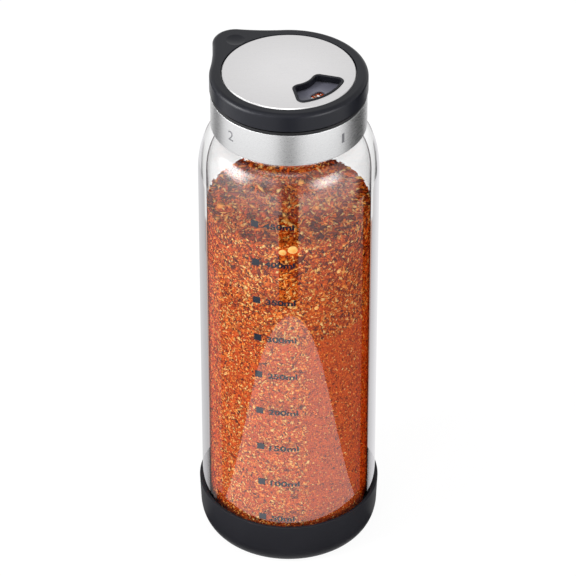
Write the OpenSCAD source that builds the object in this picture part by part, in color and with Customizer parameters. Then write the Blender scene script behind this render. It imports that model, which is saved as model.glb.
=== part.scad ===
// Glass spice jar with a screw-on lid and a turning cap that picks between a pour slot and
// sprinkle holes. Millimetres, +Z up, origin at the centre of the foot ring.

/* [Glass jar] */
// Outside diameter of the glass body
glass_d = 67; // [60:0.5:80]
// Thickness of the glass wall
glass_wall = 3; // [2:0.1:4]
// Thickness of the glass floor
glass_floor = 4.2; // [3:0.1:8]
// Height of the straight wall and heel, up to where the shoulder starts
body_h = 160.7; // [100:0.1:220]
// Height over which the shoulder curves in to the neck
shoulder_h = 18; // [12:0.5:28]
// Outside diameter of the neck at the root of its thread
neck_d = 51; // [48:0.5:54]
// Height of the neck above the shoulder
neck_h = 13.2; // [10:0.1:18]
// How far the heel rounds in at the bottom of the glass
heel_r = 4.2; // [2:0.1:6]
// Height over which the heel rounds in
heel_h = 7.2; // [3:0.1:9]
// Rise of the push-up under the glass floor
punt_h = 1.2; // [0.4:0.1:2]
// Width of the bearing ring round the push-up
bearing_w = 8; // [4:0.5:14]
// How much further the glass floor rounds up than the heel does
floor_round_more = 0.8; // [0:0.1:2]
// How much lower the floor's rounding is than the heel's
floor_round_drop = 1.2; // [0:0.1:2]

/* [Spice] */
// Height left free between the spice and the start of the shoulder
headspace = 13.3; // [2:0.1:60]
// Rise of the spice from the wall to the middle
mound_h = 1.2; // [0.5:0.1:5]
// Distance between neighbouring lumps on top of the spice
lump_step = 8.7; // [7:0.1:12]
// Height of the largest lumps
lump_h = 1; // [0.4:0.1:1.5]

/* [Base boot] */
// Height of the rubber boot from the table to its lip
boot_h = 19; // [13:0.5:30]
// Thickness of the boot under the glass
boot_floor = 1.8; // [1.4:0.1:3]
// Thickness of the boot wall above the heel
boot_wall = 0.7; // [0.5:0.1:1.5]
// Extra thickness of the boot wall at its lip
lip_extra = 0.4; // [0.2:0.1:1]
// Width of the foot ring that the jar stands on
foot_w = 5; // [3:0.5:10]
// Depth of the recess inside the foot ring
foot_recess = 0.8; // [0.4:0.1:1]

/* [Lid] */
// Radial room between neck and lid for the two threads
thread_room = 1.3; // [1:0.1:2]
// Wall of the lid's threaded skirt
skirt_wall = 1.4; // [1:0.1:2]
// Thickness of the steel band
band_t = 0.5; // [0.3:0.1:0.8]
// Height that stays free between the shoulder and the band
band_lift = 2.9; // [1:0.1:5]
// Width of the hem that the band turns in under the skirt
hem_w = 1.2; // [0.8:0.1:1.8]
// Height of the flange that shows above the band
flange_t = 0.9; // [0.5:0.1:1.5]
// How far the flange stays inside the face of the band
flange_set = 0.4; // [0.2:0.1:0.5]
// Thickness of the deck over the jar's rim
deck_t = 1.9; // [1.5:0.1:3]
// Thickness of the rim gasket
gasket_t = 1.8; // [1:0.1:3]
// Thickness of the sifter plate
plate_t = 1.2; // [0.8:0.1:2]
// Width of the ledge that carries the sifter plate
ledge_w = 1.9; // [1:0.1:3]
// Wall of the turret beside the sifter plate
turret_wall = 2; // [1.2:0.1:2.5]

/* [Turning cap] */
// Height of the cap
cap_h = 7.2; // [6.5:0.1:10]
// How far the cap stands out past the band
cap_over = 0.3; // [0:0.1:1]
// Thickness of the cap wall
cap_wall = 2.2; // [1.6:0.1:3]
// Thickness of the cap roof
roof_t = 2.2; // [1.8:0.1:3]
// Width of the black ring round the steel disc
ring_w = 4.4; // [3:0.1:6]
// Rounding of the top edge
edge_r = 1.8; // [0.6:0.1:2]
// Thickness of the steel disc
disc_t = 0.6; // [0.4:0.1:0.8]
// How far the thumb tab reaches past the cap
tab_reach = 8.2; // [5:0.1:12]
// Radius of the thumb tab's tip
tab_tip_r = 8.5; // [6:0.1:10]
// Radius of the hollow flanks between tab and cap
flank_r = 80; // [30:1:120]
// Wall round the hollow under the thumb tab
tab_wall = 1.8; // [1.2:0.1:2.4]

/* [Window and holes] */
// Angle between the window's two sides, in degrees
window_angle = 62.4; // [50:0.2:70]
// How far behind the pivot the lines of the window's sides meet
window_apex = 2; // [0:0.1:4]
// Distance from the pivot to the window's inner edge
window_in = 9.35; // [8.5:0.05:11]
// Width of steel between the window and the rim of the disc
window_rim = 3.6; // [2.5:0.1:4]
// Corner radius of the window
window_corner = 2.5; // [1.8:0.1:3]
// Thickness of the collar that lines the window
collar_wall = 1; // [0.6:0.1:1.4]
// Height that the collar stands above the disc
collar_up = 0.35; // [0.1:0.05:0.8]
// Width of the window seal under the cap
seal_w = 1.6; // [1:0.1:1.8]
// Depth of the groove that holds the window seal
seal_groove = 0.7; // [0.4:0.1:0.8]
// Room between the cap roof and the sifter plate, less the sliding gap
seal_drop = 0.5; // [0.3:0.1:0.8]
// Angle between the pour slot's two sides, in degrees
slot_angle = 22; // [18:0.5:50]
// Width of the pour slot, measured outwards
slot_w = 6.2; // [4:0.1:7]
// Corner radius of the pour slot
slot_corner = 2; // [1:0.1:2]
// Diameter of one sprinkle hole
sprinkle_d = 2.6; // [1.5:0.1:3]
// Distance between neighbouring holes in a row
sprinkle_step = 3.8; // [3.4:0.1:4.2]
// Distance between the two rows of holes
sprinkle_row = 4.4; // [3.6:0.1:4.8]

/* [Pivot] */
// Diameter of the pivot boss under the cap
boss_d = 7; // [6:0.1:8]
// Length of the boss below the sifter plate, filled by the wave washer
spring_room = 1.6; // [1.2:0.1:2.5]
// Diameter of the two washers
washer_d = 12.6; // [10:0.1:14]
// Thickness of the flat washer
washer_t = 0.8; // [0.5:0.1:1.5]
// Thickness of the wave washer's strip
wave_t = 0.4; // [0.2:0.05:0.5]
// Diameter of the pivot screw
screw_d = 3; // [2.5:0.1:3.5]
// Diameter of the screw head
head_d = 6; // [5:0.1:7]
// Height of the screw head
head_h = 2.2; // [1.8:0.1:3]
// Length of the screw past its head
screw_reach = 4.4; // [3.5:0.1:5]

/* [Clearances] */
// Radial clearance of the pivot boss and of the screw
run_gap = 0.05; // [0.02:0.01:0.1]
// Clearance between faces that slide or seal on each other
slide_gap = 0.1; // [0.05:0.01:0.2]
// Radial clearance between the cap wall and the turret
turn_gap = 0.3; // [0.2:0.05:0.6]
// Gap that shows between the flange and the cap
cap_lift = 0.7; // [0.3:0.1:1.5]
// Clearance between pieces that are pushed together
seat_gap = 0.05; // [0.02:0.01:0.1]

/* [Hidden] */
$fn = 96;

// Steps of the arcs, and the degrees left out where two arcs meet so that no point comes twice
arc_steps = 12;
small_steps = 4;
corner_steps = 5;
corner_skip = 6;
tip_steps = 14;
flank_steps = 10;
flank_skip = 1;
back_steps = 36;

// How far a cutting solid reaches past what it cuts, and how far a rooted one reaches in
cut = 1;
root = 0.5;

// Directions round the axis, from +X towards +Y
pour_dir = -45;
sprinkle_dir = -135;
click_dirs = [-135, -45, 45, 135];

// Jar
glass_r = glass_d / 2;
neck_r = neck_d / 2;
neck_fillet = 1.2;
rim_round = 1;
glass_z = boot_floor;
floor_z = glass_z + glass_floor;
shoulder_z = glass_z + body_h;
neck_z = shoulder_z + shoulder_h;
rim_z = neck_z + neck_h;
floor_round_r = heel_r + floor_round_more;
floor_round_h = heel_h - floor_round_drop;
fill_gap = 0.3;
fill_z = shoulder_z - headspace;
fill_r = glass_r - glass_wall - fill_gap;

// Lumps on the spice, laid out like the seeds of a sunflower; each is [distance, angle, height]
golden_angle = 137.508;
beat_angle = 75;
first_share = 0.525;
lump_r = 0.47 * lump_step;
lump_count = floor(((fill_r - lump_r) / (first_share * lump_step)) ^ 2);
lumps = [for (i = [1 : lump_count])
    [first_share * lump_step * sqrt(i), golden_angle * i, lump_h * (0.75 + 0.25 * cos(beat_angle * i))]];

// Lid
skirt_in_r = neck_r + thread_room;
skirt_r = skirt_in_r + skirt_wall;
band_r = skirt_r + band_t;
band_z = neck_z + band_lift;
gasket_z = rim_z + slide_gap;
deck_z = gasket_z + gasket_t + slide_gap;
deck_top = deck_z + deck_t;
band_top = deck_top - flange_t;
cap_z = deck_top + cap_lift;
cap_top = cap_z + cap_h;
roof_z = cap_top - roof_t;
plate_top = roof_z - seal_drop - slide_gap;
plate_z = plate_top - plate_t;
cap_r = band_r + cap_over;
turret_r = cap_r - cap_wall - turn_gap;
plate_r = turret_r - turret_wall - seat_gap;
well_r = plate_r - ledge_w;
disc_r = cap_r - ring_w;
disc_z = cap_top - disc_t;

// Window, slot and clicks
window_out = disc_r - window_rim;
slot_out = window_out - collar_wall - slide_gap;
slot_in = slot_out - slot_w;
sprinkle_mid = (window_in + window_out) / 2;
sprinkle_rows = [[3, sprinkle_mid - sprinkle_row / 2], [4, sprinkle_mid + sprinkle_row / 2]];
nub_r = 0.9;
nub_reach = 0.25;
notch_gap = 0.25;

// Pivot
boss_r = boss_d / 2;
boss_z = plate_z - spring_room;
washer_r = washer_d / 2;
washer_z = boss_z - washer_t;
head_z = washer_z - head_h;
screw_end_gap = 0.3;
head_bevel = 0.6;
wave_gap = 0.2;
waves = 3;
wave_steps = 36;

// Points of an elliptical arc round centre c, from angle a to angle b
function arc(c, rx, ry, a, b, n = arc_steps) =
    [for (i = [0 : n]) let (t = a + (b - a) * i / n) c + [rx * cos(t), ry * sin(t)]];

// Ring sector with rounded corners, centred on +X. Its sides meet at apex behind the centre, with
// angle between them, and inset moves every edge inwards.
function sector(r_in, r_out, angle, corner, inset = 0, apex = 0) =
    let (
        half = angle / 2,
        off_line = apex * sin(half) - corner,
        a_out = half + asin(off_line / (r_out - corner)),
        a_in = half + asin(off_line / (r_in + corner)),
        c = corner - inset,
        out_c = (r_out - corner) * [cos(a_out), sin(a_out)],
        in_c = (r_in + corner) * [cos(a_in), sin(a_in)],
        side = concat(
            arc([0, 0], r_out - inset, r_out - inset, 0, a_out),
            arc(out_c, c, c, a_out + corner_skip, half + 90, corner_steps),
            arc(in_c, c, c, half + 90, a_in + 180 - corner_skip, corner_steps),
            arc([0, 0], r_in + inset, r_in + inset, a_in, 0)))
    concat(side, [for (i = [len(side) - 2 : -1 : 1]) [side[i][0], -side[i][1]]]);

// Cap outline: a circle with a thumb tab on +X, blended by hollow flanks
tab_c = cap_r + tab_reach - tab_tip_r;
flank_d = cap_r + flank_r;
flank_a = acos((flank_d ^ 2 + tab_c ^ 2 - (tab_tip_r + flank_r) ^ 2) / (2 * flank_d * tab_c));
flank_c = flank_d * [cos(flank_a), sin(flank_a)];
tip_dir = atan2(flank_c[1], flank_c[0] - tab_c);
function half_outline(inset) = concat(
    arc([tab_c, 0], tab_tip_r - inset, tab_tip_r - inset, 0, tip_dir, tip_steps),
    arc(flank_c, flank_r + inset, flank_r + inset, tip_dir - 180 - flank_skip, flank_a - 180 + flank_skip,
        flank_steps),
    arc([0, 0], cap_r - inset, cap_r - inset, flank_a, 180, back_steps));
function cap_outline(inset) =
    let (h = half_outline(inset), n = len(h))
    concat(h, [for (i = [n - 2 : -1 : 1]) [h[i][0], -h[i][1]]]);

// Solid through stacked outlines, each given as [height, points]
module stack(layers) {
    n = len(layers[0][1]);
    m = len(layers);
    points = [for (layer = layers) for (p = layer[1]) [p[0], p[1], layer[0]]];
    sides = [for (k = [0 : m - 2]) for (i = [0 : n - 1]) let (j = (i + 1) % n)
        [k * n + i, k * n + n + i, k * n + n + j, k * n + j]];
    ends = [[for (i = [0 : n - 1]) i], [for (i = [n - 1 : -1 : 0]) (m - 1) * n + i]];
    polyhedron(points = points, faces = concat(ends, sides), convexity = 4);
}

// Outer profile of the glass, grown by g
function glass_outside(g = 0) = concat(
    arc([glass_r - heel_r, glass_z + heel_h], heel_r + g, heel_h + g, -90, 0),
    arc([neck_r + neck_fillet, shoulder_z], glass_r - neck_r - neck_fillet + g, shoulder_h + g, 0, 90));

// Inner profile of the glass up to the start of the shoulder, shrunk by g
function glass_heel_inside(g = 0) =
    arc([glass_r - glass_wall - floor_round_r, floor_z + floor_round_h],
        floor_round_r - g, floor_round_h - g, -90, 0);

module base_boot() {
    glass = glass_outside(seat_gap);
    boot_r = glass_r + seat_gap + boot_wall;
    lip_r = boot_r + lip_extra;
    lip_round = 0.4;
    foot_r = glass_r - heel_r;
    heel = [for (i = [0 : arc_steps]) glass[i]];
    color("#2c2d31") rotate_extrude() polygon(concat(
        [[0, foot_recess], [foot_r - foot_w, foot_recess], [foot_r - foot_w + foot_recess, 0]],
        arc([foot_r, glass_z + heel_h], heel_r + seat_gap + boot_wall, glass_z + heel_h, -90, 0),
        arc([lip_r - lip_round, boot_h - lip_round], lip_round, lip_round, 0, 90, small_steps),
        [[glass_r + seat_gap, boot_h]],
        [for (i = [arc_steps : -1 : 0]) heel[i]],
        [[0, glass_z - seat_gap]]));
}

module jar_glass() {
    in_r = glass_r - glass_wall;
    neck_in = neck_r - glass_wall;
    punt_r = glass_r - heel_r - bearing_w;
    color("#dfe7ea", 0.35) rotate_extrude() polygon(concat(
        arc([0, glass_z], punt_r, punt_h, 90, 0),
        glass_outside(),
        arc([neck_r + neck_fillet, neck_z + neck_fillet], neck_fillet, neck_fillet, 270, 180, small_steps),
        arc([neck_r - rim_round, rim_z - rim_round], rim_round, rim_round, 0, 90, small_steps),
        arc([neck_in + rim_round, rim_z - rim_round], rim_round, rim_round, 90, 180, small_steps),
        arc([neck_in, shoulder_z], in_r - neck_in, shoulder_h - glass_wall, 90, 0),
        [for (i = [arc_steps : -1 : 0]) glass_heel_inside()[i]],
        [[0, floor_z]]));
}

// Room that the glass leaves for the spice, cut to a mound with lumps on it
module spice_fill() {
    mound_r = fill_r + fill_gap;
    crown_r = mound_r / 3;
    lump_root = 0.6;
    room_z = fill_z + 2 * lump_h;
    color("#b4512a") intersection() {
        rotate_extrude() polygon(concat(
            [[0, floor_z + fill_gap]],
            glass_heel_inside(fill_gap),
            [[fill_r, room_z], [0, room_z]]));
        union() {
            rotate_extrude() polygon([[0, 0], [mound_r, 0], [mound_r, fill_z - mound_h], [crown_r, fill_z],
                [0, fill_z]]);
            for (lump = lumps) {
                ball_r = (lump_r ^ 2 + lump[2] ^ 2) / (2 * lump[2]);
                slope_z = mound_h * max(0, lump[0] - crown_r) / (mound_r - crown_r);
                rotate(lump[1]) translate([lump[0], 0, fill_z - slope_z]) intersection() {
                    translate([0, 0, lump[2] - ball_r]) sphere(r = ball_r);
                    translate([0, 0, -lump_h]) cylinder(r = lump_r + lump_root, h = 3 * lump_h);
                }
            }
        }
    }
}

module rim_gasket() {
    lip = 0.4;
    color("#e9e9e6") translate([0, 0, gasket_z]) difference() {
        cylinder(r = neck_r + lip, h = gasket_t);
        translate([0, 0, -cut]) cylinder(r = neck_r - glass_wall + lip, h = gasket_t + 2 * cut);
    }
}

module lid_core() {
    skirt_z = band_z + band_t + seat_gap;
    notch_sink = 0.01;
    color("#232427") difference() {
        rotate_extrude() polygon([
            [well_r, deck_z],
            [skirt_in_r, deck_z],
            [skirt_in_r, skirt_z],
            [skirt_r - seat_gap, skirt_z],
            [skirt_r - seat_gap, band_top],
            [band_r - flange_set, band_top],
            [band_r - flange_set, deck_top],
            [turret_r, deck_top],
            [turret_r, plate_top],
            [plate_r + seat_gap, plate_top],
            [plate_r + seat_gap, plate_z],
            [well_r, plate_z]]);
        for (dir = click_dirs) rotate(dir) translate([turret_r, 0, deck_top - notch_sink])
            cylinder(r = nub_r + notch_gap, h = plate_top - deck_top + cut);
    }
}

module lid_band() {
    bend = 0.4;
    hem_r = skirt_r - hem_w;
    color("#c9c9c9") rotate_extrude() polygon(concat(
        [[hem_r, band_z]],
        arc([band_r - bend, band_z + bend], bend, bend, -90, 0, small_steps),
        [[band_r, band_top - slide_gap], [skirt_r, band_top - slide_gap],
            [skirt_r, band_z + band_t], [hem_r, band_z + band_t]]));
}

module sifter_plate() {
    color("#5a5c70") difference() {
        translate([0, 0, plate_z]) cylinder(r = plate_r, h = plate_t);
        translate([0, 0, plate_z - cut]) {
            cylinder(r = boss_r + run_gap, h = plate_t + 2 * cut);
            rotate(pour_dir) linear_extrude(plate_t + 2 * cut)
                polygon(sector(slot_in, slot_out, slot_angle, slot_corner));
            for (row = sprinkle_rows, i = [0 : row[0] - 1])
                rotate(sprinkle_dir + (i - (row[0] - 1) / 2) * 2 * asin(sprinkle_step / 2 / row[1]))
                    translate([row[1], 0, 0]) cylinder(d = sprinkle_d, h = plate_t + 2 * cut);
        }
    }
}

// Outline of the window with its edges moved inwards by inset
module window(inset) {
    polygon(sector(window_in, window_out, window_angle, window_corner, inset, window_apex));
}

module turn_cap() {
    low_edge = 0.3;
    edge_steps = 5;
    edge = [for (i = [0 : edge_steps]) let (a = 90 * i / edge_steps)
        [cap_top - edge_r + edge_r * sin(a), edge_r * (1 - cos(a))]];
    shell = concat([[cap_z, low_edge], [cap_z + low_edge, 0]], edge);
    recess_z = disc_z - seat_gap;
    dish_r = 14;
    dish_h = 0.5;
    click_r = cap_r - cap_wall;
    color("#26272a") rotate(pour_dir) difference() {
        union() {
            difference() {
                rotate(180) stack([for (s = shell) [s[0], cap_outline(s[1])]]);
                translate([0, 0, cap_z - cut]) cylinder(r = click_r, h = roof_z - cap_z + cut);
                translate([0, 0, recess_z]) cylinder(r = disc_r + seat_gap, h = roof_t);
                translate([0, 0, cap_z - cut]) linear_extrude(roof_z - cap_z + cut) difference() {
                    rotate(180) polygon(cap_outline(tab_wall));
                    circle(r = cap_r);
                }
                translate([-tab_c, 0, cap_top + dish_r - dish_h]) sphere(r = dish_r);
            }
            translate([0, 0, recess_z - root]) linear_extrude(root + cap_top - recess_z + collar_up)
                window(0);
            translate([0, 0, boss_z]) cylinder(r = boss_r, h = roof_z - boss_z + root);
            for (dir = click_dirs) rotate(dir - pour_dir)
                translate([click_r + nub_r - nub_reach, 0, cap_z + root])
                    cylinder(r = nub_r, h = roof_z - cap_z);
        }
        translate([0, 0, roof_z - cut]) linear_extrude(roof_t + collar_up + 2 * cut) window(collar_wall);
        translate([0, 0, roof_z - cut]) linear_extrude(seal_groove + cut) difference() {
            window(-seal_w - seat_gap);
            window(-seat_gap);
        }
        translate([0, 0, boss_z - cut])
            cylinder(d = screw_d + 2 * run_gap, h = screw_reach - washer_t + screw_end_gap + cut);
    }
}

module cap_disc() {
    bevel = 0.4;
    color("#d6d6d6") rotate(pour_dir) difference() {
        rotate_extrude() polygon([[0, disc_z], [disc_r, disc_z], [disc_r, cap_top - bevel],
            [disc_r - bevel, cap_top], [0, cap_top]]);
        translate([0, 0, disc_z - cut]) linear_extrude(disc_t + 2 * cut) window(-seat_gap);
    }
}

module window_seal() {
    seal_z = plate_top + slide_gap;
    color("#8d9094") rotate(pour_dir) translate([0, 0, seal_z])
        linear_extrude(roof_z + seal_groove - seat_gap - seal_z) difference() {
            window(-seal_w);
            window(-2 * seat_gap);
        }
}

module pivot_screw() {
    drive_w = 0.8;
    drive_l = 3.4;
    drive_depth = 1.3;
    color("#b9bcc0") difference() {
        union() {
            translate([0, 0, head_z])
                cylinder(r1 = head_d / 2 - head_bevel, r2 = head_d / 2, h = head_bevel);
            translate([0, 0, head_z + head_bevel]) cylinder(d = head_d, h = head_h - head_bevel);
            translate([0, 0, washer_z - root]) cylinder(d = screw_d, h = root + screw_reach);
        }
        for (turn = [0, 90]) rotate(turn) translate([-drive_l / 2, -drive_w / 2, head_z - cut])
            cube([drive_l, drive_w, drive_depth + cut]);
    }
}

module flat_washer() {
    color("#c4c7ca") translate([0, 0, washer_z]) difference() {
        cylinder(r = washer_r, h = washer_t);
        translate([0, 0, -cut]) cylinder(d = screw_d + 2 * run_gap, h = washer_t + 2 * cut);
    }
}

// Strip bent into waves, held between the flat washer and the sifter plate
module wave_washer() {
    in_r = boss_r + wave_gap;
    mid_z = boss_z + spring_room / 2;
    swing = (spring_room - wave_t) / 2 - seat_gap;
    corners = [[in_r, -wave_t / 2], [washer_r, -wave_t / 2], [washer_r, wave_t / 2], [in_r, wave_t / 2]];
    points = [for (i = [0 : wave_steps - 1]) let (a = 360 * i / wave_steps) for (c = corners)
        [c[0] * cos(a), c[0] * sin(a), mid_z + c[1] + swing * sin(waves * a)]];
    faces = [for (i = [0 : wave_steps - 1], k = [0 : 3])
        let (a = 4 * i, b = (a + 4) % (4 * wave_steps), m = (k + 1) % 4) [a + k, b + k, b + m, a + m]];
    color("#aeb1b5") polyhedron(points = points, faces = faces, convexity = 6);
}

base_boot();
jar_glass();
spice_fill();
rim_gasket();
lid_core();
lid_band();
sifter_plate();
turn_cap();
cap_disc();
window_seal();
pivot_screw();
flat_washer();
wave_washer();
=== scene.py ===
import math
import bpy
import bmesh
import numpy as np
from mathutils import Matrix, Vector, noise
from mathutils.bvhtree import BVHTree


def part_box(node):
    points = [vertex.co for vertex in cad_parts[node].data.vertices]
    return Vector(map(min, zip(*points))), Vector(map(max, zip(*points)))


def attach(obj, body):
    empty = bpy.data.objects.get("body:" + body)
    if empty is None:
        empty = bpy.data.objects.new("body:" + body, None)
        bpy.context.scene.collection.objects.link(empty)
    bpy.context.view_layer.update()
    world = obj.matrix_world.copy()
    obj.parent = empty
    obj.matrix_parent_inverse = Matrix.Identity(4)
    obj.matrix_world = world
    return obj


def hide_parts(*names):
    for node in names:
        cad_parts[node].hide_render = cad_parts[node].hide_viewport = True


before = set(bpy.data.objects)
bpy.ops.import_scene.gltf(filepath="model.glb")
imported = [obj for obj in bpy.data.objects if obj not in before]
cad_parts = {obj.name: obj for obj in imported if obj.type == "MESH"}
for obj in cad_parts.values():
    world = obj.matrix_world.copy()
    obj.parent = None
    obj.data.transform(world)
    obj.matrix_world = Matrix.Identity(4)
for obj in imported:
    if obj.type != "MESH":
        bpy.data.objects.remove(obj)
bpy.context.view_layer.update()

# Meshes are worked out in millimetres and scaled to metres at the end
MM = 0.001
SEED = 20
TURN = 2 * math.pi
# A smaller radius than this counts as on the axis
ON_AXIS = 1e-6


def extent(node):
    """Outer radius, bottom and top of a CAD node, in millimetres."""
    low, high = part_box(node)
    return round(high.x / MM, 2), round(low.z / MM, 2), round(high.z / MM, 2)


# ---- sizes, in millimetres
GLASS_R, GLASS_Z, RIM_Z = extent("jar_glass")
GLASS_WALL = 3.0
FLOOR_Z = 6.0
# Across and up: the heel outside, the floor's round inside and the hollow under the floor
HEEL = (4.2, 7.2)
FLOOR_ROUND = (5.0, 6.0)
PUNT = (21.3, 1.2)
NECK_R = 25.5
NECK_FILLET = 1.2
NECK_H = 13.2
SHOULDER_H = 18.0
RIM_ROUND = 1.0
NECK_Z = RIM_Z - NECK_H
SHOULDER_Z = NECK_Z - SHOULDER_H
GLASS_IN_R = GLASS_R - GLASS_WALL

FILL_R, FILL_BOTTOM, FILL_TOP = extent("spice_fill")
FILL_RIM = FILL_TOP - 2.0
FILL_LIMIT = GLASS_IN_R - 0.03

LIP_R, _, BOOT_H = extent("base_boot")
LIP_EXTRA = 0.4
BOOT_R = LIP_R - LIP_EXTRA
FOOT_W = 5.0
FOOT_RECESS = 0.8
SEAT_GAP = 0.05
# How far a cutter stands proud of the face that it opens
PROUD = 0.01

BAND_R, BAND_Z, BAND_TOP = extent("lid_band")
BAND_T = 0.5
HEM_W = 1.2
SKIRT_IN_R = 26.8
# Threads: root and crest stand off the wall, and each has a start height, turns and a start angle
THREAD_PITCH = 4.0
THREAD_ROOT = 0.02
THREAD_CREST = 0.85
NECK_THREAD = (183.6, 1.75, -160)
LID_THREAD = (185.6, 1.5, 20)

CAP_R = BAND_R + 0.3
CAP_Z = 198.3
CAP_TOP = 205.5
ROOF_Z = 203.3
CAP_WALL = 2.2
CAP_EDGE = 1.8
TAB_REACH = 8.2
TAB_TIP_R = 8.5
TAB_C = CAP_R + TAB_REACH - TAB_TIP_R
FLANK_R = 80.0
TAB_WALL = 1.8
DISC_R, DISC_Z, _ = extent("cap_disc")
RECESS_Z = DISC_Z - SEAT_GAP
COLLAR_TOP = extent("turn_cap")[2]
BOSS_R = 3.5
BOSS_Z = 199.9
SCREW_R = 1.5
RUN_GAP = 0.05
CLICK_R = CAP_R - CAP_WALL
CLICKS = (-135, -45, 45, 135)

PLATE_R, PLATE_Z, PLATE_TOP = extent("sifter_plate")
POUR_DIR = -45
SPRINKLE_DIR = -135
TAB_DIR = POUR_DIR + 180
# Ring sectors: inner and outer radius, half angle, corner radius and apex
WINDOW = (9.35, 21.0, 31.2, 2.5, 2.0)
COLLAR_WALL = 1.0
COLLAR_EASE = 0.22
SEAL_W = 1.6
SEAL_GROOVE = 0.7
SLOT = (13.7, 19.9, 11.0, 2.0, 0.0)
SPRINKLE_R = 1.3
SPRINKLE_STEP = 3.8
# Holes in a row and its radius
SPRINKLE_ROWS = ((3, 12.975), (4, 17.375))

# The camera's direction from the jar's axis, in degrees from +X towards +Y
FRONT = -88.0


# ---- outlines
def arc(centre, radii, start, end, steps=16):
    """Points of an elliptical arc from angle start to angle end, in degrees."""
    angles = [math.radians(start + (end - start) * i / steps) for i in range(steps + 1)]
    return [(centre[0] + radii[0] * math.cos(a), centre[1] + radii[1] * math.sin(a)) for a in angles]


def polar(radius, degrees):
    turn = math.radians(degrees)
    return radius * math.cos(turn), radius * math.sin(turn)


def circle(radius, steps=96, centre=(0, 0)):
    return arc(centre, (radius, radius), 0, 360 * (steps - 1) / steps, steps - 1)


def directions(degrees):
    """Unit vectors away from the axis at an angle, and sideways of that."""
    c, s = polar(1, degrees)
    return Vector((c, s, 0)), Vector((-s, c, 0))


def mirrored(half):
    """A closed outline from its upper half, which starts and ends on the X axis."""
    return half + [(x, -y) for x, y in half[-2:0:-1]]


def sector(shape, inset=0.0):
    """Ring sector with rounded corners, centred on +X; its sides meet behind the centre, at the apex."""
    r_in, r_out, half, corner, apex = shape
    skip = 3
    off_line = apex * math.sin(math.radians(half)) - corner
    a_out = half + math.degrees(math.asin(off_line / (r_out - corner)))
    a_in = half + math.degrees(math.asin(off_line / (r_in + corner)))
    round_r = (corner - inset,) * 2
    return mirrored(
        arc((0, 0), (r_out - inset,) * 2, 0, a_out, 24)
        + arc(polar(r_out - corner, a_out), round_r, a_out + skip, half + 90, 10)
        + arc(polar(r_in + corner, a_in), round_r, half + 90, a_in + 180 - skip, 10)
        + arc((0, 0), (r_in + inset,) * 2, a_in, 0, 18))


def cap_outline(inset):
    """Circle with a thumb tab on +X, blended by hollow flanks."""
    skip = 0.5
    flank_d = CAP_R + FLANK_R
    cosine = (flank_d ** 2 + TAB_C ** 2 - (TAB_TIP_R + FLANK_R) ** 2) / (2 * flank_d * TAB_C)
    flank_a = math.degrees(math.acos(cosine))
    flank_c = polar(flank_d, flank_a)
    tip_a = math.degrees(math.atan2(flank_c[1], flank_c[0] - TAB_C))
    return mirrored(
        arc((TAB_C, 0), (TAB_TIP_R - inset,) * 2, 0, tip_a, 36)
        + arc(flank_c, (FLANK_R + inset,) * 2, tip_a - 180 - skip, flank_a - 180 + skip, 20)
        + arc((0, 0), (CAP_R - inset,) * 2, flank_a, 180, 90))


# ---- mesh helpers
def add_object(name, data, material=None):
    made = bpy.data.objects.new(name, data)
    bpy.context.scene.collection.objects.link(made)
    if material:
        data.materials.append(material)
    return made


def add_solid(name, points, faces, material=None):
    """Object from points and faces, with its faces turned outwards."""
    mesh = bpy.data.meshes.new(name)
    mesh.from_pydata([tuple(p) for p in points], [], faces)
    work = bmesh.new()
    work.from_mesh(mesh)
    bmesh.ops.recalc_face_normals(work, faces=work.faces)
    work.to_mesh(mesh)
    work.free()
    return add_object(name, mesh, material)


def finish_mesh(piece, sharp=35, weighted=True):
    """Scales a mesh from millimetres to metres and shades it smooth up to a sharp angle."""
    piece.data.transform(Matrix.Scale(MM, 4))
    piece.data.shade_smooth()
    piece.data.set_sharp_from_angle(angle=math.radians(sharp))
    if weighted:
        modifier = piece.modifiers.new("even_normals", "WEIGHTED_NORMAL")
        modifier.keep_sharp = True
    return piece


def turned(name, profile, material, segments):
    """Turns a closed profile of (r, z) round the Z axis; points on the axis become poles."""
    points, rings = [], []
    for r, z in profile:
        if r < ON_AXIS:
            rings.append([len(points)] * segments)
            points.append((0, 0, z))
        else:
            rings.append(range(len(points), len(points) + segments))
            points += [(r * math.cos(TURN * k / segments), r * math.sin(TURN * k / segments), z)
                       for k in range(segments)]
    faces = []
    for a, b in zip(rings, rings[1:] + rings[:1]):
        for k in range(segments):
            corners = (a[k], a[(k + 1) % segments], b[(k + 1) % segments], b[k])
            face = tuple(dict.fromkeys(corners))
            if len(face) > 2:
                faces.append(face)
    return add_solid(name, points, faces, material)


def loft(name, loops, material=None):
    """Solid through stacked loops of 3D points, closed at both ends."""
    n = len(loops[0])
    points = [p for loop in loops for p in loop]
    faces = [(k * n + i, k * n + (i + 1) % n, (k + 1) * n + (i + 1) % n, (k + 1) * n + i)
             for k in range(len(loops) - 1) for i in range(n)]
    faces += [tuple(range(n)), tuple(range((len(loops) - 1) * n, len(loops) * n))]
    return add_solid(name, points, faces, material)


def prism(name, outline, layers, turn=0.0, material=None):
    """Loft through an outline function, with layers of (height, inset)."""
    c, s = polar(1, turn)
    loops = [[(x * c - y * s, x * s + y * c, z) for x, y in outline(inset)] for z, inset in layers]
    return loft(name, loops, material)


def straight(outline, inset, low, high, turn):
    """A straight cutter through one inset of an outline."""
    return prism("cutter", outline, [(low, inset), (high, inset)], turn)


def shown_mesh(piece):
    """Mesh of an object with its modifiers and its text worked in."""
    return bpy.data.meshes.new_from_object(piece.evaluated_get(bpy.context.evaluated_depsgraph_get()))


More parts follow.
